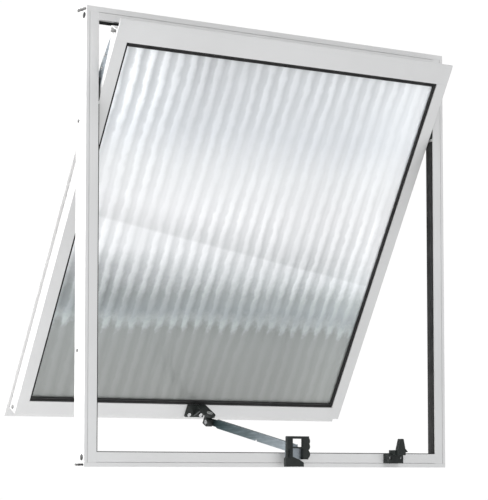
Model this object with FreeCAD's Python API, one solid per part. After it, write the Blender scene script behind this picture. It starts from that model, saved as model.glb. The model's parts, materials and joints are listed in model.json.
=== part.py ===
import FreeCAD, Part
import math
import os

# Top-pivoted aluminium window, 600 x 600: a fixed frame, a sash with ribbed glass, and a stay arm.
# X is along the sill, +Y points outdoors, +Z is up. Origin: middle of the frame's underside.
# Millimetres. The sash is drawn shut and then turned open about its pivots; the arm is drawn open.

# ---- frame ----
WIDTH = 600.0
HEIGHT = 600.0
DEPTH = 26.0
FACE = 18.5             # face width of a jamb
BOX_DEPTH = 14.0        # depth of the hollow part of each frame profile
WALL = 1.5
HEAD_LIP = 7.0          # the head's full-width upper strip
HEAD_FACE = 17.0
SILL_LIP = 5.5
SILL_FACE = 19.0
GROOVE = 0.7            # shadow line between a lip and a face
JAMB_GROOVE = 4.4       # from the frame's outer edge
TAIL = 2.0              # single wall behind the hollow part
TAIL_RETURN = 4.0
PORT_R = 3.2            # screw port inside a profile
PORT_LENGTH = 26.0
FIXING_R = 2.75
FIXING_PITCH = 300.0
FIXING_DEPTH = 20.0     # of the fixing holes, behind the room face
SEAL = 2.0
SEAL_TOP = 472.0
HEAD_SEAL = 3.0
SILL_SEAL = 1.0

# ---- pivots ----
PIVOT_DEPTH = 10.0      # of the pivot axis, behind the room face
PIVOT_Z = 492.0
OPEN_ANGLE = 29.0
PIN_R = 2.4
RUNNING = 0.07          # radial clearance of a turning pin
BLOCK_HALF = 16.0
BLOCK_THICK = 2.1
PLATE_THICK = 0.6

# ---- sash ----
SASH_INSET = 21.5       # from the frame's outer edge
SASH_PROUD = 2.5        # in front of the frame's room face when shut
SASH_DEPTH = 19.0
STILE = 18.0
STILE_BOX = 9.5
SASH_BOTTOM = 21.0
RAIL = 19.0
TOP_RAIL = 30.0
TOP_FLANGE = 15.0       # part of the top rail that overlaps the head
SASH_TOP = 594.0
FLANGE = 2.0
FLANGE_OVERLAP = 4.5
FLANGE_DROP = 13.0
LIP = 1.5
GLASS_RECESS = 6.0
GLASS_THICK = 4.0
GLASS_EDGE = 11.0       # from the sash's outer edge to the glass
RIB_COUNT = 25
RIB_RISE = 0.7
GASKET_PROUD = 3.0
GASKET_GRIP = 5.0

# ---- stay ----
SWIVEL_X = 21.0
SWIVEL_OUT = 28.0       # swivel axis, in front of the sash's room face
LIFT_OUT = 34.0         # lift pin, in front of the sash's room face
STAY_Z = 30.0           # height of the lift pin with the sash shut
ARM_SLOPE = 11.2        # downhill to the room
BAR_HEIGHT = 13.0
BAR_THICK = 2.0
BAR_OFFSET = 4.2        # from the swivel axis
NOTCH_AT = 115.0
TAB_Y_FROM_FACE = 12.0
HANDLE_THICK = 5.0
RIVET_R = 2.4
LIFT_PIN_R = 1.8
SCREW_R = 1.6

ROOM = -DEPTH / 2                    # the frame's room face
BACK = DEPTH / 2
LEFT = -WIDTH / 2
INNER = LEFT + FACE                  # inner side of the left jamb
PORT_Y = ROOM + BOX_DEPTH / 2
HEAD_PORT_Z = HEIGHT - 12.0
SILL_PORT_Z = 12.0
PIVOT_Y = ROOM + PIVOT_DEPTH
SASH_LEFT = LEFT + SASH_INSET
SASH_FRONT = ROOM - SASH_PROUD
SASH_BACK = SASH_FRONT + SASH_DEPTH
SIGHT_LEFT = SASH_LEFT + STILE
SIGHT_LOW = SASH_BOTTOM + RAIL
SIGHT_HIGH = SASH_TOP - TOP_RAIL
RAIL_BOX_TOP = SASH_BOTTOM + STILE_BOX
TOP_BOX_LOW = SIGHT_HIGH + 5.5
TOP_BOX_HIGH = SASH_TOP - TOP_FLANGE
GLASS_FRONT = SASH_FRONT + GLASS_RECESS
GLASS_BACK = GLASS_FRONT + GLASS_THICK
BEAD_FRONT = GLASS_BACK + 2.0
SCREW_DEPTH_Y = SASH_FRONT + 10.0

V = FreeCAD.Vector
PIVOT = V(0, PIVOT_Y, PIVOT_Z)
AXIS_X = V(1, 0, 0)


def block(low, high):
    size = [high[i] - low[i] for i in range(3)]
    return Part.makeBox(size[0], size[1], size[2], V(*low))


def rod(radius, start, end):
    run = V(*end) - V(*start)
    return Part.makeCylinder(radius, run.Length, V(*start), run)


def prism(points, run):
    corners = [V(*p) for p in points]
    return Part.Face(Part.makePolygon(corners + corners[:1])).extrude(V(*run))


def joined(pieces):
    return pieces[0].multiFuse(pieces[1:]).removeSplitter()


def cut(shape, tools):
    for tool in tools:
        shape = shape.cut(tool)
    return shape


def mirrored(shape):
    return shape.mirror(V(0, 0, 0), AXIS_X)


def opened(shape):
    turned = shape.copy()
    turned.rotate(PIVOT, AXIS_X, OPEN_ANGLE)
    return turned


def opened_point(y, z):
    angle = math.radians(OPEN_ANGLE)
    dy, dz = y - PIVOT_Y, z - PIVOT_Z
    return (PIVOT_Y + dy * math.cos(angle) - dz * math.sin(angle),
            PIVOT_Z + dy * math.sin(angle) + dz * math.cos(angle))


def save(node, pieces):
    solids = [s for piece in pieces for s in piece.Solids]
    for solid in solids:
        if not solid.isValid() or solid.Volume <= 0:
            print("bad solid in", node, solid.Volume)
    shape = solids[0] if len(solids) == 1 else Part.makeCompound(solids)
    shape.exportStep("parts/" + node + ".step")


def screw(head_at, direction, length, head_r=3.0, head_h=1.6, shank_r=SCREW_R):
    """A screw whose head stands before head_at and whose shank runs along direction."""
    way = V(*direction)
    start = V(*head_at)
    head = Part.makeCylinder(head_r, head_h, start - way * head_h, way)
    slot = Part.makeBox(head_r * 1.3, 0.7, 0.7, V(-head_r * 0.65, -0.35, 0))
    slot.Placement = FreeCAD.Placement(start - way * head_h, FreeCAD.Rotation(V(0, 0, 1), way))
    shank = Part.makeCylinder(shank_r, length, start, way)
    return cut(joined([head, shank]), [slot])


# ---------------------------------------------------------------- frame

def jamb():
    """Left jamb: hollow box, with a single wall and a small return behind it."""
    low, high = SILL_LIP, HEIGHT - HEAD_LIP
    box = block((LEFT, ROOM, low), (INNER, ROOM + BOX_DEPTH, high))
    hollow = block((LEFT + WALL, ROOM + WALL, low), (INNER - WALL, ROOM + BOX_DEPTH - WALL, high))
    tail = block((LEFT, ROOM + BOX_DEPTH, low), (LEFT + TAIL, BACK, high))
    hook = block((LEFT + TAIL, BACK - WALL, low), (LEFT + TAIL + TAIL_RETURN, BACK, high))
    groove = block((LEFT + JAMB_GROOVE, ROOM, low), (LEFT + JAMB_GROOVE + GROOVE, ROOM + GROOVE, high))
    holes = [hollow, groove, rod(PIN_R, (INNER - 3, PIVOT_Y, PIVOT_Z), (INNER, PIVOT_Y, PIVOT_Z))]
    for z in (HEAD_PORT_Z, SILL_PORT_Z):
        holes.append(rod(4.2, (LEFT - 1, PORT_Y, z), (LEFT + WALL + 1, PORT_Y, z)))
        holes.append(rod(SCREW_R, (INNER - 3, PORT_Y, z), (INNER + 1, PORT_Y, z)))
    for side in (-1, 1):
        z = PIVOT_Z + side * (BLOCK_HALF - 4.5)
        holes.append(rod(1.5, (INNER - 3, PORT_Y, z), (INNER + 1, PORT_Y, z)))
        z = HEIGHT / 2 + side * FIXING_PITCH / 2
        y = ROOM + FIXING_DEPTH
        holes.append(rod(FIXING_R, (LEFT - 1, y, z), (LEFT + TAIL + 1, y, z)))
    return cut(joined([box, tail, hook]), holes)


def screw_ports(z, low, high):
    """Ribbed tubes inside a cross member's ends that the corner screws bite into."""
    ports = []
    for side in (-1, 1):
        ends = sorted((side * INNER, side * (INNER + PORT_LENGTH)))
        tube = rod(PORT_R, (ends[0], PORT_Y, z), (ends[1], PORT_Y, z))
        web = block((ends[0], PORT_Y - 0.8, low), (ends[1], PORT_Y + 0.8, high))
        ports.append(joined([tube, web]))
    return ports


def cross_member(lip_low, lip_high, box_low, box_high, port_z, groove_low):
    lip = block((LEFT, ROOM, lip_low), (-LEFT, BACK, lip_high))
    lip = lip.cut(block((LEFT, ROOM + WALL, lip_low + 1.3), (-LEFT, BACK - WALL, lip_high - 1.3)))
    box = block((INNER, ROOM, box_low), (-INNER, ROOM + BOX_DEPTH, box_high))
    low = box_low + (WALL if box_low > lip_low else 0)
    high = box_high - (WALL if box_high > lip_high else 0)
    box = box.cut(block((INNER, ROOM + WALL, low), (-INNER, ROOM + BOX_DEPTH - WALL, high)))
    member = joined([lip, box] + screw_ports(port_z, low, high))
    bores = [rod(SCREW_R, (-INNER * s, PORT_Y, port_z), (-(INNER + 22) * s, PORT_Y, port_z))
             for s in (-1, 1)]
    groove = block((INNER, ROOM, groove_low), (-INNER, ROOM + GROOVE, groove_low + GROOVE))
    return cut(member, bores + [groove])


def head():
    lip_low = HEIGHT - HEAD_LIP
    return cross_member(lip_low, HEIGHT, HEIGHT - HEAD_FACE, lip_low, HEAD_PORT_Z, lip_low - GROOVE)


def sill():
    """The sill also has a sloped apron behind its box, which sheds water."""
    member = cross_member(0, SILL_LIP, SILL_LIP, SILL_FACE, SILL_PORT_Z, SILL_LIP)
    back = ROOM + BOX_DEPTH
    apron = prism([(INNER, back, SILL_LIP), (INNER, BACK, SILL_LIP), (INNER, back, SILL_LIP + 1.5)],
                  (-2 * INNER, 0, 0))
    holes = [rod(1.5, (x, ROOM - 1, KEEPER_SCREW_Z), (x, ROOM + 2, KEEPER_SCREW_Z)) for x in KEEPER_SCREW_X]
    return cut(joined([member, apron]), holes)


def frame_corner_screws():
    return [screw((side * (INNER - WALL), PORT_Y, z), (side, 0, 0), 20.0)
            for side in (-1, 1) for z in (HEAD_PORT_Z, SILL_PORT_Z)]


def strip_seal(base, tip, low, high, start, end, along):
    """A rubber strip with two fins: base and tip are heights, low and high its width range in Y."""
    root = base + (tip - base) * 0.4
    middle = (low + high) / 2
    profile = [(low, base), (high, base), (high, tip), (middle + 1.5, root), (middle - 1.5, root), (low, tip)]
    if along == "z":
        return prism([(h, y, start) for y, h in profile], (0, 0, end - start))
    return prism([(start, y, h) for y, h in profile], (end - start, 0, 0))


def jamb_seal():
    return strip_seal(INNER, INNER + SEAL, ROOM + 1.5, ROOM + 13.5, SILL_FACE, SEAL_TOP, "z")


def head_seal():
    base = HEIGHT - HEAD_FACE
    return strip_seal(base, base - HEAD_SEAL, ROOM + 8, ROOM + 13, INNER, -INNER, "x")


def sill_seal():
    end = INNER + SEAL + 0.3
    return strip_seal(SILL_FACE, SILL_FACE + SILL_SEAL, ROOM + 3, ROOM + 11, end, -end, "x")


def pivot_block():
    body = block((INNER, ROOM + 1, PIVOT_Z - BLOCK_HALF), (INNER + BLOCK_THICK, ROOM + 13, PIVOT_Z + BLOCK_HALF))
    body = body.makeFillet(3.0, [e for e in body.Edges if abs(e.BoundBox.XLength - BLOCK_THICK) < 0.01])
    holes = [rod(PIN_R, (INNER - 1, PIVOT_Y, PIVOT_Z), (INNER + 4, PIVOT_Y, PIVOT_Z))]
    for side in (-1, 1):
        z = PIVOT_Z + side * (BLOCK_HALF - 4.5)
        holes.append(rod(1.5, (INNER - 1, PORT_Y, z), (INNER + 4, PORT_Y, z)))
        holes.append(rod(2.6, (INNER + BLOCK_THICK - 1.2, PORT_Y, z), (INNER + 4, PORT_Y, z)))
    return cut(body, holes)


def pivot_block_screws():
    head_x = INNER + BLOCK_THICK - 1.2
    return [screw((side * head_x, PORT_Y, PIVOT_Z + up * (BLOCK_HALF - 4.5)), (-side, 0, 0), 6.0, 2.6, 1.2, 1.5)
            for side in (1, -1) for up in (-1, 1)]


def pivot_pin():
    pin = rod(PIN_R, (LEFT + 10, PIVOT_Y, PIVOT_Z), (SASH_LEFT + 7.5, PIVOT_Y, PIVOT_Z))
    return pin.makeChamfer(0.6, [pin.Edges[0], pin.Edges[2]])


# ---------------------------------------------------------------- keeper on the sill

KEEPER_X = 184.0        # left end of the keeper's base
KEEPER_LOW = SILL_LIP + 0.2
KEEPER_SCREW_Z = 13.0
KEEPER_SCREW_X = (KEEPER_X + 6.6, KEEPER_X + 26.6)


def keeper():
    base = block((3, ROOM - 12, KEEPER_LOW), (30, ROOM, 20.0))
    base = base.makeFillet(1.5, [e for e in base.Edges if e.Length < 16 and e.BoundBox.ZLength > 5
                                 and e.BoundBox.YMax < ROOM - 1])
    step = block((9, ROOM - 18, 17), (28, ROOM - 5, 24.2))
    post = prism([(x, ROOM - 22, z) for x, z in
                  [(12.5, 17), (25.5, 17), (26, 23), (22.4, 39), (21.6, 40), (17.2, 40), (16.4, 39),
                   (12.5, 25)]], (0, 6.5, 0))
    spur = prism([(x, ROOM - 21.5, z) for x, z in [(24, 28), (30.0, 21.9), (28.7, 21.2), (24, 23)]], (0, 5, 0))
    body = joined([base, step, post, spur])
    body.translate(V(KEEPER_X, 0, 0))
    holes = []
    for x in KEEPER_SCREW_X:
        holes.append(rod(1.5, (x, ROOM - 30, KEEPER_SCREW_Z), (x, ROOM + 1, KEEPER_SCREW_Z)))
        holes.append(rod(2.6, (x, ROOM - 30, KEEPER_SCREW_Z), (x, ROOM - 8, KEEPER_SCREW_Z)))
    return cut(body, holes)


def keeper_screws():
    return [screw((x, ROOM - 8, KEEPER_SCREW_Z), (0, 1, 0), 13.0, 2.5, 1.6, 1.5) for x in KEEPER_SCREW_X]


# ---------------------------------------------------------------- sash, drawn shut

def stile():
    """Left stile: hollow box, room-side lip for the glass, outdoor flange below the pivot."""
    x0, x1 = SASH_LEFT, SASH_LEFT + STILE_BOX
    box = joined([block((x0, SASH_FRONT, SASH_BOTTOM), (x1, SASH_BACK, SIGHT_HIGH)),
                  block((x0, SASH_FRONT + LIP, SIGHT_HIGH), (x1, SASH_BACK, TOP_BOX_LOW))])
    box = box.cut(block((x0 + WALL, SASH_FRONT + WALL + 0.01, SASH_BOTTOM),
                        (x1 - WALL, SASH_BACK - WALL, TOP_BOX_LOW)))
    lip = block((x1, SASH_FRONT, SASH_BOTTOM), (SIGHT_LEFT, SASH_FRONT + LIP, SIGHT_HIGH))
    flange = block((x0 - FLANGE_OVERLAP, SASH_BACK - FLANGE, SASH_BOTTOM - FLANGE_DROP),
                   (x0, SASH_BACK, SEAL_TOP))
    port_x = (x0 + x1) / 2
    port_low = TOP_BOX_LOW - PORT_LENGTH
    port = rod(PORT_R, (port_x, SCREW_DEPTH_Y, port_low), (port_x, SCREW_DEPTH_Y, TOP_BOX_LOW))
    web = block((x0 + WALL, SCREW_DEPTH_Y - 0.8, port_low), (x1 - WALL, SCREW_DEPTH_Y + 0.8, TOP_BOX_LOW))
    corner_z = SASH_BOTTOM + STILE_BOX / 2
    holes = [rod(PIN_R + RUNNING, (x0 - 1, PIVOT_Y, PIVOT_Z), (x0 + 4, PIVOT_Y, PIVOT_Z)),
             rod(SCREW_R, (port_x, SCREW_DEPTH_Y, TOP_BOX_LOW - 20), (port_x, SCREW_DEPTH_Y, TOP_BOX_LOW)),
             rod(3.6, (x0 - 1, SCREW_DEPTH_Y, corner_z), (x0 + 3, SCREW_DEPTH_Y, corner_z)),
             rod(SCREW_R, (x1 - 3, SCREW_DEPTH_Y, corner_z), (x1 + 1, SCREW_DEPTH_Y, corner_z))]
    for z in HINGE_SCREW_Z:
        holes.append(rod(1.2, (x0 - 1, PIVOT_Y, z), (x0 + 3, PIVOT_Y, z)))
    return cut(joined([box, lip, flange, port, web]), holes)


def top_rail():
    """Full-width top rail: hollow box, and a face that overlaps the frame's head."""
    x0 = SASH_LEFT
    face = prism([(x0, SASH_FRONT, SIGHT_HIGH), (x0, SASH_FRONT + LIP, SIGHT_HIGH),
                  (x0, SASH_FRONT + LIP, SASH_TOP), (x0, SASH_FRONT + 1.0, SASH_TOP),
                  (x0, SASH_FRONT, SASH_TOP - 5.0)], (-2 * x0, 0, 0))
    box = block((x0, SASH_FRONT + LIP, TOP_BOX_LOW), (-x0, SASH_BACK, TOP_BOX_HIGH))
    hollow = block((x0, SASH_FRONT + LIP + WALL, TOP_BOX_LOW + WALL), (-x0, SASH_BACK - WALL, TOP_BOX_HIGH - WALL))
    bead = block((x0, SASH_FRONT + LIP, SASH_TOP - 1.6), (-x0, ROOM - 0.5, SASH_TOP))
    holes = []
    for side in (-1, 1):
        x = side * (SASH_LEFT + STILE_BOX / 2)
        holes.append(rod(SCREW_R, (x, SCREW_DEPTH_Y, TOP_BOX_LOW - 1), (x, SCREW_DEPTH_Y, TOP_BOX_LOW + 3)))
        holes.append(rod(3.6, (x, SCREW_DEPTH_Y, TOP_BOX_HIGH - 3), (x, SCREW_DEPTH_Y, TOP_BOX_HIGH + 1)))
    return cut(joined([face, box, bead]), [hollow] + holes)


def bottom_rail():
    x1 = SASH_LEFT + STILE_BOX
    box = block((x1, SASH_FRONT + LIP, SASH_BOTTOM), (-x1, SASH_BACK, RAIL_BOX_TOP))
    face = block((SIGHT_LEFT, SASH_FRONT, SASH_BOTTOM), (-SIGHT_LEFT, SASH_FRONT + LIP, SIGHT_LOW))
    flange = block((SASH_LEFT, SASH_BACK - FLANGE, SASH_BOTTOM - FLANGE_DROP), (-SASH_LEFT, SASH_BACK, SASH_BOTTOM))
    low, high = SASH_BOTTOM + WALL, RAIL_BOX_TOP - WALL
    hollow = block((x1, SASH_FRONT + LIP + WALL, low), (-x1, SASH_BACK - WALL, high))
    z = (low + high) / 2
    ports = []
    bores = [rod(1.5, (x, SASH_FRONT - 1, BRACKET_SCREW_Z), (x, SASH_FRONT + LIP + WALL + 1, BRACKET_SCREW_Z))
             for x in BRACKET_SCREW_X]
    for side in (-1, 1):
        ends = sorted((side * x1, side * (x1 + PORT_LENGTH)))
        ports.append(rod(PORT_R, (ends[0], SCREW_DEPTH_Y, z), (ends[1], SCREW_DEPTH_Y, z)))
        ports.append(block((ends[0], SCREW_DEPTH_Y - 0.8, low), (ends[1], SCREW_DEPTH_Y + 0.8, high)))
        bores.append(rod(SCREW_R, (side * x1, SCREW_DEPTH_Y, z), (side * (x1 + 20), SCREW_DEPTH_Y, z)))
    return cut(joined([box.cut(hollow), face, flange] + ports), bores)


def sash_corner_screws():
    screws = []
    for side in (-1, 1):
        x = side * (SASH_LEFT + STILE_BOX / 2)
        screws.append(screw((x, SCREW_DEPTH_Y, TOP_BOX_LOW + WALL), (0, 0, -1), 19.0))
        wall = side * (SASH_LEFT + STILE_BOX - WALL)
        screws.append(screw((wall, SCREW_DEPTH_Y, SASH_BOTTOM + STILE_BOX / 2), (side, 0, 0), 19.0))
    return screws


def glass_pane():
    """Figured glass: shallow upright ribs on the room side, flat outdoors."""
    x0, low, high = SASH_LEFT + GLASS_EDGE, SASH_BOTTOM + GLASS_EDGE, SIGHT_HIGH + 3.5
    pitch = -2 * x0 / RIB_COUNT
    edges = []
    for i in range(RIB_COUNT):
        a, b = x0 + i * pitch, x0 + (i + 1) * pitch
        edges.append(Part.Arc(V(a, GLASS_FRONT, low), V((a + b) / 2, GLASS_FRONT - RIB_RISE, low),
                              V(b, GLASS_FRONT, low)).toShape())
    corners = [(-x0, GLASS_FRONT), (-x0, GLASS_BACK), (x0, GLASS_BACK), (x0, GLASS_FRONT)]
    for a, b in zip(corners, corners[1:]):
        edges.append(Part.LineSegment(V(a[0], a[1], low), V(b[0], b[1], low)).toShape())
    return Part.Face(Part.Wire(edges)).extrude(V(0, 0, high - low))


def gasket(front, back, proud):
    outer = block((SIGHT_LEFT - GASKET_GRIP, front, SIGHT_LOW - GASKET_GRIP),
                  (-SIGHT_LEFT + GASKET_GRIP, back, SIGHT_HIGH + GASKET_GRIP))
    inner = block((SIGHT_LEFT + proud, front - 1, SIGHT_LOW + proud),
                  (-SIGHT_LEFT - proud, back + 1, SIGHT_HIGH - proud))
    return outer.cut(inner)


def room_gasket():
    return gasket(SASH_FRONT + LIP, GLASS_FRONT - RIB_RISE - 0.1, GASKET_PROUD)


def outer_gasket():
    return gasket(GLASS_BACK, BEAD_FRONT, 1.5)


def bead(low, high):
    """A snap-in glazing strip, hollow along its length."""
    size = [high[i] - low[i] for i in range(3)]
    along = size.index(max(size))
    inner_low = [low[i] + (0 if i == along else 1.2) for i in range(3)]
    inner_high = [high[i] - (0 if i == along else 1.2) for i in range(3)]
    return block(low, high).cut(block(inner_low, inner_high))


def side_bead():
    return bead((SASH_LEFT + STILE_BOX, BEAD_FRONT, RAIL_BOX_TOP), (SIGHT_LEFT, SASH_BACK, TOP_BOX_LOW))


def top_bead():
    return bead((SIGHT_LEFT, BEAD_FRONT, SIGHT_HIGH), (-SIGHT_LEFT, SASH_BACK, TOP_BOX_LOW))


def bottom_bead():
    return bead((SIGHT_LEFT, BEAD_FRONT, RAIL_BOX_TOP), (-SIGHT_LEFT, SASH_BACK, SIGHT_LOW))


def setting_blocks():
    return [block((x - 25, GLASS_FRONT - 0.3, RAIL_BOX_TOP), (x + 25, GLASS_BACK, SASH_BOTTOM + GLASS_EDGE))
            for x in (-140, 140)]


HINGE_SCREW_Z = (PIVOT_Z + 30, PIVOT_Z + 48)


def hinge_plate():
    """Thin steel plate on the stile's side, pointed at the top, that the pivot pin passes through."""
    x = SASH_LEFT - PLATE_THICK
    outline = [(PIVOT_Y - 6, PIVOT_Z - 16), (PIVOT_Y + 6, PIVOT_Z - 16), (PIVOT_Y + 6, PIVOT_Z + 20),
               (PIVOT_Y + 2.5, PIVOT_Z + 60), (PIVOT_Y, PIVOT_Z + 72), (PIVOT_Y - 2.5, PIVOT_Z + 60),
               (PIVOT_Y - 6, PIVOT_Z + 20)]
    plate = prism([(x, y, z) for y, z in outline], (PLATE_THICK, 0, 0))
    holes = [rod(PIN_R + RUNNING, (x - 1, PIVOT_Y, PIVOT_Z), (x + 2, PIVOT_Y, PIVOT_Z))]
    for z in HINGE_SCREW_Z:
        holes.append(rod(1.2, (x - 1, PIVOT_Y, z), (x + 2, PIVOT_Y, z)))
    return cut(plate, holes)


def hinge_plate_screws():
    x = SASH_LEFT - PLATE_THICK
    return [screw((side * x, PIVOT_Y, z), (side, 0, 0), 5.0, 2.2, 0.9, 1.2)
            for side in (1, -1) for z in HINGE_SCREW_Z]


# ---------------------------------------------------------------- stay bracket, on the sash, drawn shut

SWIVEL_Y = SASH_FRONT - SWIVEL_OUT
LIFT_Y = SASH_FRONT - LIFT_OUT
SHELF_LOW = STAY_Z + 7.8
SHELF_HIGH = SHELF_LOW + 2.8
BRACKET_SCREW_Z = SASH_BOTTOM + 4.8
BRACKET_SCREW_X = (SWIVEL_X - 17, SWIVEL_X + 3)
KNUCKLE_LOW = STAY_Z - 6.0
KNUCKLE_HIGH = STAY_Z + 7.3


def stay_bracket():
    """Plate on the bottom rail, with a shelf that reaches over the knuckle, and a gusset."""
    plate = block((SWIVEL_X - 22, SASH_FRONT - 3, SASH_BOTTOM + 0.5), (SWIVEL_X + 9, SASH_FRONT, SHELF_HIGH))
    shelf = block((SWIVEL_X - 9, SWIVEL_Y, SHELF_LOW), (SWIVEL_X + 9, SASH_FRONT - 3, SHELF_HIGH))
    nose = rod(9.0, (SWIVEL_X, SWIVEL_Y, SHELF_LOW), (SWIVEL_X, SWIVEL_Y, SHELF_HIGH))
    gusset = prism([(SWIVEL_X - 9, SASH_FRONT - 3, SHELF_LOW), (SWIVEL_X - 9, SASH_FRONT - 3, SASH_BOTTOM + 2),
                    (SWIVEL_X - 9, SASH_FRONT - 15, SHELF_LOW)], (2.5, 0, 0))
    holes = [rod(RIVET_R, (SWIVEL_X, SWIVEL_Y, SHELF_LOW - 1), (SWIVEL_X, SWIVEL_Y, SHELF_HIGH + 1))]
    for x in BRACKET_SCREW_X:
        holes.append(rod(1.5, (x, SASH_FRONT - 4, BRACKET_SCREW_Z), (x, SASH_FRONT + 1, BRACKET_SCREW_Z)))
    return cut(joined([plate, shelf, nose, gusset]), holes)


def bracket_screws():
    return [screw((x, SASH_FRONT - 3, BRACKET_SCREW_Z), (0, 1, 0), 9.0, 2.8, 1.6, 1.5) for x in BRACKET_SCREW_X]


def swivel_rivet():
    shank = rod(RIVET_R, (SWIVEL_X, SWIVEL_Y, KNUCKLE_LOW), (SWIVEL_X, SWIVEL_Y, SHELF_HIGH))
    cap = rod(4.6, (SWIVEL_X, SWIVEL_Y, SHELF_HIGH), (SWIVEL_X, SWIVEL_Y, SHELF_HIGH + 1.6))
    foot = rod(3.6, (SWIVEL_X, SWIVEL_Y, KNUCKLE_LOW), (SWIVEL_X, SWIVEL_Y, KNUCKLE_LOW + 1.2))
    return joined([shank, cap, foot])


# ---------------------------------------------------------------- knuckle

def knuckle():
    """Small block that turns on the swivel rivet and carries the arm's lift pin."""
    barrel = rod(6.0, (SWIVEL_X, SWIVEL_Y, KNUCKLE_LOW), (SWIVEL_X, SWIVEL_Y, KNUCKLE_HIGH))
    barrel = barrel.cut(block((SWIVEL_X + 3, SWIVEL_Y - 9, KNUCKLE_LOW - 1), (SWIVEL_X + 9, SWIVEL_Y + 9, 60)))
    ear = block((SWIVEL_X - 6, LIFT_Y - 5, KNUCKLE_LOW), (SWIVEL_X + 3, SWIVEL_Y, STAY_Z + 5))
    ear = ear.makeFillet(3.0, [e for e in ear.Edges if e.BoundBox.XLength > 8 and e.BoundBox.YMax < LIFT_Y])
    holes = [rod(RIVET_R + RUNNING, (SWIVEL_X, SWIVEL_Y, KNUCKLE_LOW - 1), (SWIVEL_X, SWIVEL_Y, KNUCKLE_HIGH + 1)),
             rod(3.9, (SWIVEL_X, SWIVEL_Y, KNUCKLE_LOW - 1), (SWIVEL_X, SWIVEL_Y, KNUCKLE_LOW + 1.5)),
             rod(LIFT_PIN_R, (SWIVEL_X - 7, LIFT_Y, STAY_Z), (SWIVEL_X + 4, LIFT_Y, STAY_Z))]
    return cut(joined([barrel, ear]), holes)


def lift_pin():
    right = SWIVEL_X + BAR_OFFSET + BAR_THICK / 2
    return joined([rod(LIFT_PIN_R, (SWIVEL_X - 6, LIFT_Y, STAY_Z), (right + 0.3, LIFT_Y, STAY_Z)),
                   rod(3.2, (SWIVEL_X - 7.2, LIFT_Y, STAY_Z), (SWIVEL_X - 6, LIFT_Y, STAY_Z)),
                   rod(3.2, (right + 0.3, LIFT_Y, STAY_Z), (right + 1.5, LIFT_Y, STAY_Z))])


# ---------------------------------------------------------------- arm and handle, drawn open

TAB_FRONT = ROOM - TAB_Y_FROM_FACE
TAB_BACK = TAB_FRONT + BAR_THICK
BAR_X = SWIVEL_X + BAR_OFFSET
LIFT_OPEN_Y, LIFT_OPEN_Z = opened_point(LIFT_Y, STAY_Z)
BAR_LENGTH = (LIFT_OPEN_Y - TAB_BACK) / math.cos(math.radians(ARM_SLOPE))
HANDLE_FRONT = TAB_FRONT - HANDLE_THICK
HANDLE_X = BAR_X - 20.2  # the handle's outline is drawn from here
RIVET_Z = (15.5, 21.5)
RIVET_X = HANDLE_X + 8.0
FINGER_HOLE = ((12.5, 27.5), (30.0, 38.5))


def stay_arm():
    """Flat steel bar with a stiffening flange, notched underneath, bent into a tab at the room end."""
    x0, x1 = BAR_X - BAR_THICK / 2, BAR_X + BAR_THICK / 2
    half = BAR_HEIGHT / 2
    web = prism([(x0, 0, -5), (x0, 0, 5), (x0, -12, 5), (x0, -16, half), (x0, -BAR_LENGTH, half),
                 (x0, -BAR_LENGTH, -half), (x0, -16, -half), (x0, -12, -5)], (BAR_THICK, 0, 0))
    eye = rod(5.0, (x0, 0, 0), (x1, 0, 0))
    flange = block((BAR_X - 4.5, -BAR_LENGTH + 1, half - 1.5), (x1, -18, half))
    bar = joined([web, eye, flange])
    bar = cut(bar, [rod(LIFT_PIN_R + RUNNING, (x0 - 1, 0, 0), (x1 + 1, 0, 0)),
                    rod(3.0, (x0 - 1, -NOTCH_AT, -half - 0.5), (x1 + 1, -NOTCH_AT, -half - 0.5))])
    bar.rotate(V(0, 0, 0), AXIS_X, ARM_SLOPE)
    bar.translate(V(0, LIFT_OPEN_Y, LIFT_OPEN_Z))
    beyond = block((BAR_X - 20, ROOM - 60, -40), (BAR_X + 20, TAB_FRONT, 100))
    tab = block((RIVET_X - 4, TAB_FRONT, 10.2), (HANDLE_X + 30, TAB_BACK, 31.0))
    tab = tab.cut(block((RIVET_X - 5, TAB_FRONT - 1, 26.0), (x0 - 4, TAB_BACK + 1, 32)))
    tab = tab.cut(block((x1 + 3, TAB_FRONT - 1, 26.0), (HANDLE_X + 31, TAB_BACK + 1, 32)))
    holes = [rod(1.6, (RIVET_X, TAB_FRONT - 1, z), (RIVET_X, TAB_BACK + 1, z)) for z in RIVET_Z]
    return cut(joined([bar.cut(beyond), tab]), holes)


def handle():
    """Moulded pull: post, top bar, hooked foot in front of the sill, and a waved finger grip."""
    (hole_left, hole_low), (hole_right, hole_high) = FINGER_HOLE
    depth = (0, HANDLE_THICK, 0)
    post = prism([(x, HANDLE_FRONT, z) for x, z in
                  [(1.0, 0.6), (31.0, 0.6), (31.0, 6.0), (24.0, 10.0), (12.5, 14.0), (12.5, 41.0),
                   (11.5, 42.0), (4.5, 42.0), (3.5, 41.0), (3.5, 14.0), (1.0, 12.0)]], depth)
    top = block((4.0, HANDLE_FRONT, hole_high), (40.0, TAB_FRONT, 42.0))
    bar = block((12.0, HANDLE_FRONT, 25.6), (hole_right + 2, HANDLE_FRONT + 3.0, hole_low))
    grip = block((hole_right, HANDLE_FRONT, 10.5), (38.5, TAB_FRONT, 41.0))
    waves = [rod(6.5, (35.0, HANDLE_FRONT, z), (35.0, TAB_FRONT, z)) for z in (17.5, 28.0, 35.4)]
    grip = joined([grip] + waves).cut(block((0, HANDLE_FRONT - 1, 0), (hole_right, TAB_FRONT + 1, 60)))
    body = joined([post, top, bar, grip])
    body.translate(V(HANDLE_X, 0, 0))
    holes = [rod(1.6, (RIVET_X, HANDLE_FRONT - 1, z), (RIVET_X, TAB_FRONT + 1, z)) for z in RIVET_Z]
    return cut(body, holes)


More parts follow.
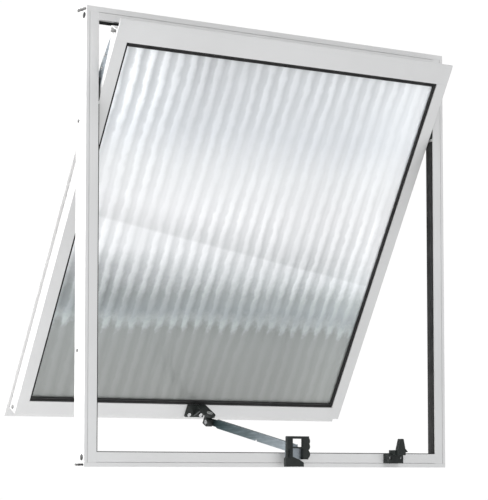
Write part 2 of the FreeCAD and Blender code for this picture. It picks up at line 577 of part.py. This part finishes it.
def handle_rivets():
    rivets = []
    for z in RIVET_Z:
        rivets.append(joined([rod(1.6, (RIVET_X, HANDLE_FRONT, z), (RIVET_X, TAB_BACK, z)),
                              rod(2.6, (RIVET_X, HANDLE_FRONT - 1, z), (RIVET_X, HANDLE_FRONT, z)),
                              rod(2.6, (RIVET_X, TAB_BACK, z), (RIVET_X, TAB_BACK + 1, z))]))
    return rivets


# ---------------------------------------------------------------- write the files

FRAME_PAIRS = {"jamb": jamb, "jamb_seal": jamb_seal, "pivot_block": pivot_block, "pivot_pin": pivot_pin}
FRAME_NODES = {"head": head, "sill": sill, "head_seal": head_seal, "sill_seal": sill_seal, "keeper": keeper}
FRAME_GROUPS = {"frame_corner_screws": frame_corner_screws, "pivot_block_screws": pivot_block_screws,
                "keeper_screws": keeper_screws}
SASH_PAIRS = {"stile": stile, "bead": side_bead, "hinge_plate": hinge_plate}
SASH_NODES = {"top_rail": top_rail, "bottom_rail": bottom_rail, "glass_pane": glass_pane,
              "room_gasket": room_gasket, "outer_gasket": outer_gasket, "top_bead": top_bead,
              "bottom_bead": bottom_bead, "stay_bracket": stay_bracket, "swivel_rivet": swivel_rivet,
              "knuckle": knuckle, "lift_pin": lift_pin}
SASH_GROUPS = {"sash_corner_screws": sash_corner_screws, "setting_blocks": setting_blocks,
               "hinge_plate_screws": hinge_plate_screws, "bracket_screws": bracket_screws}

os.makedirs("parts", exist_ok=True)
for name, make in FRAME_PAIRS.items():
    piece = make()
    save("left_" + name, [piece])
    save("right_" + name, [mirrored(piece)])
for name, make in FRAME_NODES.items():
    save(name, [make()])
for name, make in FRAME_GROUPS.items():
    save(name, make())
for name, make in SASH_PAIRS.items():
    piece = make()
    save("left_" + name, [opened(piece)])
    save("right_" + name, [opened(mirrored(piece))])
for name, make in SASH_NODES.items():
    save(name, [opened(make())])
for name, make in SASH_GROUPS.items():
    save(name, [opened(piece) for piece in make()])
save("stay_arm", [stay_arm()])
save("handle", [handle()])
save("handle_rivets", handle_rivets())

SWIVEL_OPEN_Y, SWIVEL_OPEN_Z = opened_point(SWIVEL_Y, STAY_Z)
print("pivot", PIVOT_Y, PIVOT_Z, "open", OPEN_ANGLE)
print("swivel", SWIVEL_X, SWIVEL_OPEN_Y, SWIVEL_OPEN_Z)
print("lift", LIFT_OPEN_Y, LIFT_OPEN_Z, "range", OPEN_ANGLE - ARM_SLOPE)
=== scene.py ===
import json
import math

import bpy
from mathutils import Matrix, Vector, noise


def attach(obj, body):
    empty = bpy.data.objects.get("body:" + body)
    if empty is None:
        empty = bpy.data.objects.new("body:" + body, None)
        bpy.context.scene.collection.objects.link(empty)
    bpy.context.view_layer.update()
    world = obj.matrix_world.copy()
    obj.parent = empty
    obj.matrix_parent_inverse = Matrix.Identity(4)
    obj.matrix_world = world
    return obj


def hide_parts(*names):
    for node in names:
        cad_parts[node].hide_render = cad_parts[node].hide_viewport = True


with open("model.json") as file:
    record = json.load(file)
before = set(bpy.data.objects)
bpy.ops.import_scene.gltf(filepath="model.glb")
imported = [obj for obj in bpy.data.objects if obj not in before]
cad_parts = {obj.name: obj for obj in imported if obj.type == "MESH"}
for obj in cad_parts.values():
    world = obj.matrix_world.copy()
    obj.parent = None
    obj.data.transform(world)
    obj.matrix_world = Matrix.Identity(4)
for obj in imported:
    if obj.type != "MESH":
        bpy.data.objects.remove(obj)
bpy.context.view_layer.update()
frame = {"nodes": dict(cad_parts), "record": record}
nodes = frame["nodes"]

# ---------------------------------------------------------------- the sash's own frame
# The sash rests open. Its pieces are drawn shut, square to the axes, and then turned open.

pivot = next(j for j in frame["record"]["behaviour"]["joints"] if j["name"] == "sash_pivot")
OPEN_ANGLE = -math.radians(pivot["range_deg"][0])
to_pivot = Matrix.Translation(Vector(pivot["pos_m"]))
OPEN = to_pivot @ Matrix.Rotation(OPEN_ANGLE, 4, "X") @ to_pivot.inverted()
SHUT = OPEN.inverted()


def shut_box(node):
    """Lowest and highest corner of a sash node with the sash shut."""
    points = [SHUT @ v.co for v in nodes[node].data.vertices]
    low = Vector(min(p[i] for p in points) for i in range(3))
    high = Vector(max(p[i] for p in points) for i in range(3))
    return low, high


# ---------------------------------------------------------------- mesh helpers

def new_mesh(name, points, faces, smooth=True):
    mesh = bpy.data.meshes.new(name)
    mesh.from_pydata([tuple(p) for p in points], [], faces)
    mesh.validate()
    mesh.update()
    piece = bpy.data.objects.new(name, mesh)
    bpy.context.scene.collection.objects.link(piece)
    for polygon in mesh.polygons:
        polygon.use_smooth = smooth
    return piece


def paint(piece, name, values):
    """Stores one number on each point of a mesh, for its material to read."""
    piece.data.attributes.new(name, "FLOAT", "POINT").data.foreach_set("value", values)


def wear(piece, material):
    piece.data.materials.clear()
    piece.data.materials.append(material)


# ---------------------------------------------------------------- node helpers

MIX_COLOURS_IN = (6, 7)   # the Mix node's two colour inputs share their names with others
MIX_COLOUR_OUT = 2


class Shader:
    """A principled material whose nodes are added one by one."""

    def __init__(self, name, **values):
        self.material = bpy.data.materials.new(name)
        self.material.use_nodes = True
        self.tree = self.material.node_tree
        self.surface = self.tree.nodes["Principled BSDF"]
        for socket, value in values.items():
            self.surface.inputs[socket.replace("_", " ")].default_value = value

    def add(self, kind, **values):
        node = self.tree.nodes.new("ShaderNode" + kind)
        for key, value in values.items():
            if key in node.inputs:
                node.inputs[key].default_value = value
            else:
                setattr(node, key, value)
        return node

    def link(self, output, target):
        self.tree.links.new(output, target)

    def place(self, stretch=(1, 1, 1)):
        """Object coordinates, stretched."""
        mapping = self.add("Mapping")
        mapping.inputs["Scale"].default_value = stretch
        self.link(self.add("TexCoord").outputs["Object"], mapping.inputs["Vector"])
        return mapping.outputs["Vector"]

    def noise(self, scale, detail=3.0, stretch=(1, 1, 1)):
        node = self.add("TexNoise", Scale=scale, Detail=detail)
        self.link(self.place(stretch), node.inputs["Vector"])
        return node.outputs["Fac"]

    def painted(self, name):
        """A number stored on the mesh's points."""
        return self.add("Attribute", attribute_name=name).outputs["Fac"]

    def ramp(self, factor, stops):
        node = self.add("ValToRGB")
        ramp = node.color_ramp
        ramp.elements[0].position, ramp.elements[0].color = stops[0][0], (*stops[0][1], 1)
        ramp.elements[1].position, ramp.elements[1].color = stops[-1][0], (*stops[-1][1], 1)
        for position, colour in stops[1:-1]:
            ramp.elements.new(position).color = (*colour, 1)
        self.link(factor, node.inputs["Fac"])
        return node.outputs["Color"]

    def span(self, factor, low, high):
        node = self.add("MapRange")
        node.inputs["To Min"].default_value = low
        node.inputs["To Max"].default_value = high
        self.link(factor, node.inputs["Value"])
        return node.outputs["Result"]

    def calc(self, operation, *terms):
        """A Math node on sockets and plain numbers."""
        node = self.add("Math", operation=operation)
        for socket, term in zip(node.inputs, terms):
            if isinstance(term, (int, float)):
                socket.default_value = term
            else:
                self.link(term, socket)
        return node.outputs["Value"]

    def centred(self, factor, width):
        """A factor of 0 to 1 spread over a width that lies evenly about zero."""
        return self.calc("MULTIPLY_ADD", factor, width, -width / 2)

    def scaled(self, colour, factor):
        node = self.add("VectorMath", operation="SCALE")
        self.link(colour, node.inputs[0])
        self.link(factor, node.inputs["Scale"])
        return node.outputs["Vector"]

    def mixed(self, factor, first, second):
        node = self.add("Mix", data_type="RGBA")
        self.link(factor, node.inputs["Factor"])
        for colour, place in zip((first, second), MIX_COLOURS_IN):
            self.link(colour, node.inputs[place])
        return node.outputs[MIX_COLOUR_OUT]

    def colour(self, output):
        self.link(output, self.surface.inputs["Base Color"])

    def roughness(self, factor, low, high):
        self.link(self.span(factor, low, high), self.surface.inputs["Roughness"])

    def bump(self, height, strength, distance, round_edges=0.0):
        node = self.add("Bump", Strength=strength, Distance=distance)
        self.link(height, node.inputs["Height"])
        if round_edges:
            bevel = self.add("Bevel", samples=4)
            bevel.inputs["Radius"].default_value = round_edges
            self.link(bevel.outputs["Normal"], node.inputs["Normal"])
        self.link(node.outputs["Normal"], self.surface.inputs["Normal"])


def grey(value, warmth=0.0):
    return (value * (1 + warmth), value, value * (1 - warmth))


def greys(*stops):
    """Stops of a ramp that carries a number."""
    return [(position, grey(value)) for position, value in stops]


# ---------------------------------------------------------------- plain materials

def powder_coat():
    """White powder coat: faint orange peel, faint unevenness of tone."""
    shader = Shader("white_powder_coat", IOR=1.45)
    shader.colour(shader.ramp(shader.noise(scale=9.0, detail=4.0),
                              [(0.3, grey(0.650, warmth=0.010)), (0.7, grey(0.690, warmth=0.008))]))
    shader.roughness(shader.noise(scale=60.0), 0.30, 0.42)
    shader.bump(shader.noise(scale=1400.0, detail=2.0), strength=0.10, distance=0.0002, round_edges=0.0006)
    return shader.material


def rubber():
    """Black rubber, dusty in patches."""
    shader = Shader("black_rubber", IOR=1.38)
    shader.colour(shader.ramp(shader.noise(scale=70.0, detail=5.0),
                              [(0.3, grey(0.008)), (0.75, grey(0.026, warmth=0.03))]))
    shader.roughness(shader.noise(scale=300.0), 0.42, 0.66)
    shader.bump(shader.noise(scale=900.0), strength=0.25, distance=0.0002, round_edges=0.0004)
    return shader.material


def nylon():
    """Glass-filled black nylon with a fine moulded grain."""
    shader = Shader("black_nylon", IOR=1.40)
    shader.colour(shader.ramp(shader.noise(scale=120.0, detail=6.0),
                              [(0.25, (0.009, 0.011, 0.010)), (0.8, (0.021, 0.025, 0.023))]))
    shader.roughness(shader.noise(scale=500.0), 0.32, 0.52)
    grain = shader.add("TexVoronoi", Scale=2600.0)
    shader.link(shader.place(), grain.inputs["Vector"])
    shader.bump(grain.outputs["Distance"], strength=0.18, distance=0.0002, round_edges=0.0008)
    return shader.material


REFLECTION_FADE = 6.5        # the bar's painted reflection, which lightens it, ends one over this many metres behind the frame's middle


def zinc():
    """Zinc plate: rolled streaks along the bar, teal at its knuckle, with a painted reflection that
    lightens it towards the handle.
    """
    shader = Shader("zinc_plate", Metallic=0.9)
    streak = shader.noise(scale=420.0, detail=6.0, stretch=(3.0, 0.10, 1.0))
    teal = shader.ramp(streak, [(0.25, (0.035, 0.060, 0.060)), (0.5, (0.065, 0.100, 0.105)),
                                (0.8, (0.15, 0.20, 0.215))])
    pale = shader.ramp(streak, [(0.25, (0.27, 0.30, 0.32)), (0.5, (0.36, 0.40, 0.43)),
                                (0.8, (0.50, 0.54, 0.57))])
    along = shader.add("SeparateXYZ")
    shader.link(shader.place((1, REFLECTION_FADE, 1)), along.inputs[0])
    # Painted reflection: the bar is mixed from teal to the paler colours towards the handle.
    reflection_mix = shader.ramp(along.outputs["Y"], greys((0.0, 1.0), (0.5, 0.35), (1.0, 0.0)))
    shader.colour(shader.mixed(reflection_mix, teal, pale))
    shader.roughness(shader.noise(scale=90.0), 0.28, 0.50)
    shader.bump(streak, strength=0.20, distance=0.0002, round_edges=0.0004)
    return shader.material


def black_zinc():
    """Black-passivated zinc, for the rivets that are lost against the black handle."""
    shader = Shader("black_zinc", Metallic=0.8)
    shader.colour(shader.ramp(shader.noise(scale=300.0),
                              [(0.3, (0.018, 0.022, 0.022)), (0.7, (0.040, 0.046, 0.046))]))
    shader.roughness(shader.noise(scale=700.0), 0.30, 0.46)
    shader.bump(shader.noise(scale=1500.0), strength=0.12, distance=0.0001, round_edges=0.0003)
    return shader.material


def bright_steel():
    """Turned stainless steel of the pins, screws and rivet."""
    shader = Shader("bright_steel", Metallic=1.0)
    shader.colour(shader.ramp(shader.noise(scale=300.0), greys((0.3, 0.52), (0.7, 0.72))))
    shader.roughness(shader.noise(scale=700.0), 0.18, 0.34)
    shader.bump(shader.noise(scale=1500.0), strength=0.12, distance=0.0001, round_edges=0.0003)
    return shader.material


# ---------------------------------------------------------------- ribbed glass
# Each ramp below runs from 0 to 1: up the pane from its foot, or across it or one rib from the left.

# The pane's colour is painted light: its tones by height are painted reflection, darkest along the foot,
# and the streaks, lifts, slant and dark line below are painted highlight and shade.
PANE_REFLECTION = [(0.00, (0.375, 0.385, 0.370)), (0.235, (0.405, 0.425, 0.415)),
              (0.262, (0.56, 0.60, 0.60)), (0.290, (0.43, 0.465, 0.475)),
              (0.335, (0.45, 0.48, 0.48)), (0.395, (0.70, 0.72, 0.73)),
              (0.46, (0.92, 0.93, 0.94)), (0.57, (0.99, 0.99, 1.00)),
              (0.69, (0.93, 0.94, 0.95)), (0.80, (0.80, 0.82, 0.845)),
              (1.0, (0.755, 0.77, 0.785))]
TONE_FALL = -0.008    # how much lower the painted reflection tones are read at the pane's right side
CLOUD = 0.05          # how far the tones wander up and down
DAPPLE = 0.035        # and how far in small spots
CREST_REACH = 0.022   # how much higher they are read on the painted highlight side of a rib

# Painted highlight across one rib: bright on its lit side, dark on its shaded one.
RIB_HIGHLIGHT = greys((0.0, 0.06), (0.22, 0.20), (0.38, 1.0), (0.62, 0.78), (0.84, 0.0), (1.0, 0.06))
RIB_MEAN = 0.38       # near the average of that, so the painted highlight streaks hardly change the pane's mean tone
RIPPLE = 0.44         # how far the edge of a rib's painted highlight wanders, in ribs
# How strong the painted highlight streaks are, by height up the pane.
HIGHLIGHT_DEPTH = greys((0.0, 0.10), (0.22, 0.12), (0.27, 0.34), (0.45, 0.26), (0.65, 0.14), (0.78, 0.16),
                     (1.0, 0.30))
PATCHES = (-0.4, 2.6)  # what that depth is multiplied by, from patch to patch

CORNER_ACROSS = greys((0.08, 1.0), (0.26, 0.0))   # the top left corner has stronger painted highlight streaks, and a painted highlight that lightens it
CORNER_UP = greys((0.62, 0.0), (0.88, 1.0))
CORNER_DEPTH = 0.55
CORNER_HIGHLIGHT = 0.30
# Painted highlight that lightens the pane's sides, the right side most.
SIDE_HIGHLIGHT = greys((0.0, 0.05), (0.10, 0.0), (0.78, 0.0), (1.0, 0.24))

# A painted slant of light: where it is over a half the right side is the paler, and under a half the left.
LIGHT_SLANT = greys((0.18, 0.50), (0.26, 0.28), (0.31, 1.0), (0.40, 1.0), (0.46, 0.32), (0.60, 0.36),
              (0.80, 0.66), (1.0, 0.95))
SLANT_WIDTH = 0.8
SLANT_ABOUT = 0.4     # the place across the pane that it leaves alone
# A painted reflection of the horizon: a faint dark line across the pane.
HORIZON_LINE = greys((0.0, 1.0), (0.545, 1.0), (0.548, 0.86), (0.62, 1.0))
HORIZON_SLOPE = 0.16   # how much lower that painted horizon line lies at the right side


def rib_highlight(shader):
    """Painted highlight: near 1 on the lit side of a rib and near 0 on its shaded one, with a ragged edge
    between.
    """
    ripple = shader.centred(shader.noise(scale=95.0, detail=4.0, stretch=(1.0, 0.7, 0.7)), RIPPLE)
    return shader.ramp(shader.calc("FRACT", shader.calc("ADD", shader.painted("rib"), ripple)), RIB_HIGHLIGHT)


def pane_reflection(shader, across, height, rib):
    """The pane's colour by height, a painted reflection darkest along the foot, clouded, dappled and drawn
    up along the painted rib highlights.
    """
    cloud = shader.centred(shader.noise(scale=14.0, detail=4.0, stretch=(1.0, 0.4, 0.4)), CLOUD)
    dapple = shader.centred(shader.noise(scale=190.0, detail=2.0), DAPPLE)
    level = shader.calc("MULTIPLY_ADD", across, TONE_FALL, height)
    level = shader.calc("ADD", level, shader.calc("ADD", cloud, dapple))
    return shader.ramp(shader.calc("MULTIPLY_ADD", rib, CREST_REACH, level), PANE_REFLECTION)


def pane_painted_light(shader, across, height, rib):
    """What the colour is multiplied by, all painted light: highlight streaks, a slant of light from side
    to side, lifts at the sides and the top left corner, and a painted horizon line.
    """
    patches = shader.span(shader.noise(scale=16.0, detail=4.0, stretch=(1.0, 0.6, 0.6)), *PATCHES)
    patchy = shader.calc("MULTIPLY", shader.ramp(height, HIGHLIGHT_DEPTH), patches)
    corner = shader.calc("MULTIPLY", shader.ramp(across, CORNER_ACROSS), shader.ramp(height, CORNER_UP))
    depth = shader.calc("MULTIPLY_ADD", corner, CORNER_DEPTH, patchy)
    streak = shader.calc("MULTIPLY_ADD", shader.calc("SUBTRACT", rib, RIB_MEAN), depth, 1.0)
    slant = shader.calc("MULTIPLY", shader.calc("SUBTRACT", across, SLANT_ABOUT),
                        shader.centred(shader.ramp(height, LIGHT_SLANT), SLANT_WIDTH))
    painted_lift = shader.calc("MULTIPLY_ADD", corner, CORNER_HIGHLIGHT, shader.ramp(across, SIDE_HIGHLIGHT))
    horizon_line = shader.ramp(shader.calc("MULTIPLY_ADD", across, HORIZON_SLOPE, height), HORIZON_LINE)
    return shader.calc("MULTIPLY", shader.calc("ADD", shader.calc("ADD", slant, painted_lift), streak), horizon_line)


def figured_glass():
    """Ribbed glass: milky and pale, with painted highlights streaked along its ribs and a painted
    reflection that is deeper toned along its foot.
    """
    shader = Shader("ribbed_glass", IOR=1.45, Transmission_Weight=0.42, Roughness=0.12)
    across = shader.painted("across")
    height = shader.painted("height")
    # The painted highlight of each rib, used by both the painted reflection and the painted light below.
    rib = rib_highlight(shader)
    # Painted reflection by height, scaled by painted highlight and shade.
    tone = pane_reflection(shader, across, height, rib)
    shader.colour(shader.scaled(tone, pane_painted_light(shader, across, height, rib)))
    waviness = shader.noise(scale=160.0, detail=2.0, stretch=(1.0, 0.2, 0.2))
    shader.bump(waviness, strength=0.08, distance=0.0004)
    return shader.material


# ---------------------------------------------------------------- glass pane

RIBS = 25
STEPS = 12            # mesh columns to one rib
COLUMNS = RIBS * STEPS
ROW = COLUMNS + 1     # points in one row
ROWS = 64
RIB_RISE = 0.0007
RIB_SQUARING = 0.8    # below 1, the crests are flatter than a circle's
RIB_DRIFT = 0.16      # how far a rib wanders, as a part of its width
DRIFT_FIELD = (9.0, 11.0, 4.0)    # scale across, scale up and seed of that wandering
DRIFT_FADE = 0.25     # the wandering dies away at the sides by this power
CREST_DIP = 0.15      # how far a crest's height varies, as a part of itself
DIP_FIELD = (30, 6, 9)


def field(x, z, scales):
    """Seeded noise over the pane's face."""
    across, up, seed = scales
    return noise.noise(Vector((x * across, z * up, seed)))


def rib_height(phase):
    """Round-topped rib with a soft valley: 0 in the valley, 1 on the crest."""
    return math.sqrt(max(0.0, 1.0 - (2.0 * (phase % 1.0) - 1.0) ** 2)) ** RIB_SQUARING


def rib_place(column, x, z):
    """How many ribs lie to the left of a point, counting a part of its own."""
    inside = math.sin(math.pi * column / COLUMNS) ** DRIFT_FADE
    return column / STEPS + RIB_DRIFT * field(x, z, DRIFT_FIELD) * inside


def face_grid(low, high):
    """(column, x, z) of each point of one face, row by row from the foot."""
    for j in range(ROWS + 1):
        z = low.z + (high.z - low.z) * j / ROWS
        for i in range(ROW):
            yield i, low.x + (high.x - low.x) * i / COLUMNS, z


def edge_face(a, b, back, turned):
    """The face from an edge of the front to the same edge of the back."""
    side = (a, b, back + b, back + a)
    return side[::-1] if turned else side


def pane_faces():
    """Front and back grids, then the four edges; the back's points follow the front's."""
    back = ROW * (ROWS + 1)
    faces = []
    for j in range(ROWS):
        for i in range(COLUMNS):
            a = j * ROW + i
            faces.append((a, a + 1, a + ROW + 1, a + ROW))
            faces.append((back + a, back + a + ROW, back + a + ROW + 1, back + a + 1))
    for j in range(ROWS):
        for a, turned in ((j * ROW, False), (j * ROW + COLUMNS, True)):
            faces.append(edge_face(a, a + ROW, back, turned))
    for i in range(COLUMNS):
        for a, turned in ((i, True), (ROWS * ROW + i, False)):
            faces.append(edge_face(a, a + 1, back, turned))
    return faces


def glass_pane():
    low, high = shut_box("glass_pane")
    grid = list(face_grid(low, high))
    rib = [rib_place(*spot) for spot in grid]
    front = []
    for (_, x, z), phase in zip(grid, rib):
        rise = rib_height(phase) * (1.0 - CREST_DIP + CREST_DIP * field(x, z, DIP_FIELD))
        front.append(OPEN @ Vector((x, low.y + RIB_RISE - RIB_RISE * rise, z)))
    back = [OPEN @ Vector((x, high.y, z)) for _, x, z in grid]
    pane = new_mesh("ribbed_glass", front + back, pane_faces())
    across = [i / COLUMNS for i in range(ROW)] * (ROWS + 1)
    height = [j / ROWS for j in range(ROWS + 1) for _ in range(ROW)]
    for name, values in (("rib", rib), ("across", across), ("height", height)):
        paint(pane, name, values + values)
    wear(pane, figured_glass())
    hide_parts("glass_pane")
    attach(pane, "sash")


# ---------------------------------------------------------------- glazing gasket, room side

GRIP = 0.005          # how far the gasket runs under the metal
PROUD_SIDE = 0.0036   # how far it stands into the opening
PROUD_RAIL = 0.0056
LIP_RADIUS = 0.243    # of each of its two rounded lips, as a part of that
LIP_ARC = (180, 150, 120, 90, 60, 30, 0)
SIDE_DEPTH = 0.6      # where its inner side starts to taper, as a part of its depth
TAPER = 0.0006
CREASE_ANGLE = 50     # degrees; a sharper edge than this stays crisp


def lip_arc(centre, radius):
    """Half circle from the gasket's metal side to its glass side."""
    angles = [math.radians(a) for a in LIP_ARC]
    return [(centre + radius * math.cos(a), radius - radius * math.sin(a)) for a in angles]


def gasket_profile(depth, proud):
    """(reach into the opening, distance behind the gasket's front) of the double-lipped rubber."""
    radius = LIP_RADIUS * proud
    metal_side = [(-GRIP, depth), (-GRIP, 0.0)]
    glass_side = [(proud, depth * SIDE_DEPTH), (proud - TAPER, depth)]
    return metal_side + lip_arc(radius, radius) + lip_arc(proud - radius, radius) + glass_side


def ring_faces(corners, count):
    """Faces that join each corner's profile to the next corner's, all the way round."""
    faces = []
    for corner in range(corners):
        here = corner * count
        after = (corner + 1) % corners * count
        for k in range(count):
            beside = (k + 1) % count
            faces.append((here + k, here + beside, after + beside, after + k))
    return faces


def room_gasket():
    low, high = shut_box("room_gasket")
    depth = high.y - low.y
    side, rail = gasket_profile(depth, PROUD_SIDE), gasket_profile(depth, PROUD_RAIL)
    corners = ((True, True), (False, True), (False, False), (True, False))
    points = []
    for left, bottom in corners:
        for (reach_x, y), (reach_z, _) in zip(side, rail):
            x = low.x + GRIP + reach_x if left else high.x - GRIP - reach_x
            z = low.z + GRIP + reach_z if bottom else high.z - GRIP - reach_z
            points.append(OPEN @ Vector((x, low.y + y, z)))
    piece = new_mesh("glazing_gasket", points, ring_faces(len(corners), len(side)))
    split = piece.modifiers.new("crisp_mitres", "EDGE_SPLIT")
    split.split_angle = math.radians(CREASE_ANGLE)
    wear(piece, rubber_material)
    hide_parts("room_gasket")
    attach(piece, "sash")


# ---------------------------------------------------------------- camera

IMAGE_LONG_SIDE = 500
SENSOR_WIDTH = 36.0   # millimetres
FOCAL = 2121.7        # in pixels of the image's long side
CAMERA_AT = (-1.6742, -2.3749, -0.0089)
CAMERA_TURN = 34.49   # degrees, from looking along +Y towards +X
CAMERA_TILT = 4.68    # degrees, upwards
CAMERA_SHIFT = 0.10


def camera():
    data = bpy.data.cameras.new("camera")
    data.sensor_width = SENSOR_WIDTH
    data.lens = FOCAL * SENSOR_WIDTH / IMAGE_LONG_SIDE
    data.shift_y = CAMERA_SHIFT
    eye = bpy.data.objects.new("camera", data)
    eye.location = CAMERA_AT
    eye.rotation_euler = (math.radians(90 + CAMERA_TILT), 0, -math.radians(CAMERA_TURN))
    bpy.context.scene.collection.objects.link(eye)
    bpy.context.scene.camera = eye


# ---------------------------------------------------------------- light and floor

LAMPS = [             # name, place, aim, size in metres, watts
    ("key_left", (-2.6, 0.4, 1.2), (0, 0, 0.3), (1.2, 2.0), 90),
    ("fill_front", (0.6, -2.4, 3.0), (0, 0, 0.3), (2.0, 2.0), 24),
    ("over_head", (0.0, -0.5, 1.6), (0, 0, 0.6), (1.0, 0.3), 6),
]
AMBIENT_COLOUR = (0.94, 0.97, 1.0, 1)
AMBIENT_STRENGTH = 0.50
WHITE = (1, 1, 1, 1)
BACKDROP_STRENGTH = 1.02   # the white that the camera sees, straight or through the glass

FLOOR_HALF = 14.0
FLOOR_Z = -0.30
FLOOR_GLOW = 0.22
FLOOR_GLOW_SEEN = 0.5      # added where the camera sees the floor, to meet the backdrop


def area_light(name, at, aim, size, power):
    data = bpy.data.lights.new(name, "AREA")
    data.shape = "RECTANGLE"
    data.size, data.size_y = size
    data.energy = power
    lamp = bpy.data.objects.new(name, data)
    lamp.location = at
    lamp.rotation_euler = (Vector(aim) - Vector(at)).to_track_quat("-Z", "Y").to_euler()
    bpy.context.scene.collection.objects.link(lamp)


def backdrop():
    """Soft ambient light, seen as plain white."""
    world = bpy.data.worlds.new("studio")
    bpy.context.scene.world = world
    world.use_nodes = True
    tree = world.node_tree
    ambient = tree.nodes["Background"]
    ambient.inputs["Color"].default_value = AMBIENT_COLOUR
    ambient.inputs["Strength"].default_value = AMBIENT_STRENGTH
    seen = tree.nodes.new("ShaderNodeBackground")
    seen.inputs["Color"].default_value = WHITE
    seen.inputs["Strength"].default_value = BACKDROP_STRENGTH
    path = tree.nodes.new("ShaderNodeLightPath")
    either = tree.nodes.new("ShaderNodeMath")
    either.operation = "MAXIMUM"
    tree.links.new(path.outputs["Is Camera Ray"], either.inputs[0])
    tree.links.new(path.outputs["Is Transmission Ray"], either.inputs[1])
    mix = tree.nodes.new("ShaderNodeMixShader")
    for output, place in zip((either.outputs["Value"], ambient.outputs[0], seen.outputs[0]), mix.inputs):
        tree.links.new(output, place)
    tree.links.new(mix.outputs[0], tree.nodes["World Output"].inputs["Surface"])


def floor():
    corners = [(FLOOR_HALF * x, FLOOR_HALF * y, FLOOR_Z) for x, y in ((-1, -1), (1, -1), (1, 1), (-1, 1))]
    ground = new_mesh("floor", corners, [(0, 1, 2, 3)], smooth=False)
    shader = Shader("pale_floor", Roughness=0.9, Emission_Color=WHITE)
    seen = shader.add("LightPath").outputs["Is Camera Ray"]
    shader.link(shader.calc("MULTIPLY_ADD", seen, FLOOR_GLOW_SEEN, FLOOR_GLOW),
                shader.surface.inputs["Emission Strength"])
    shader.colour(shader.ramp(shader.noise(scale=2.0), greys((0.2, 0.93), (0.8, 0.95))))
    wear(ground, shader.material)


# ---------------------------------------------------------------- put together

bpy.context.scene.view_settings.view_transform = "Standard"
camera()
backdrop()
for lamp_values in LAMPS:
    area_light(*lamp_values)
floor()

rubber_material = rubber()
materials = {
    "white_aluminium": powder_coat(),
    "black_rubber": rubber_material,
    "black_nylon": nylon(),
    "zinc_steel": zinc(),
    "bright_steel": bright_steel(),
}
for part in frame["record"]["subparts"]:
    if part["material_slot"] in materials:
        wear(nodes[part["node"]], materials[part["material_slot"]])
wear(nodes["handle_rivets"], black_zinc())

glass_pane()
room_gasket()
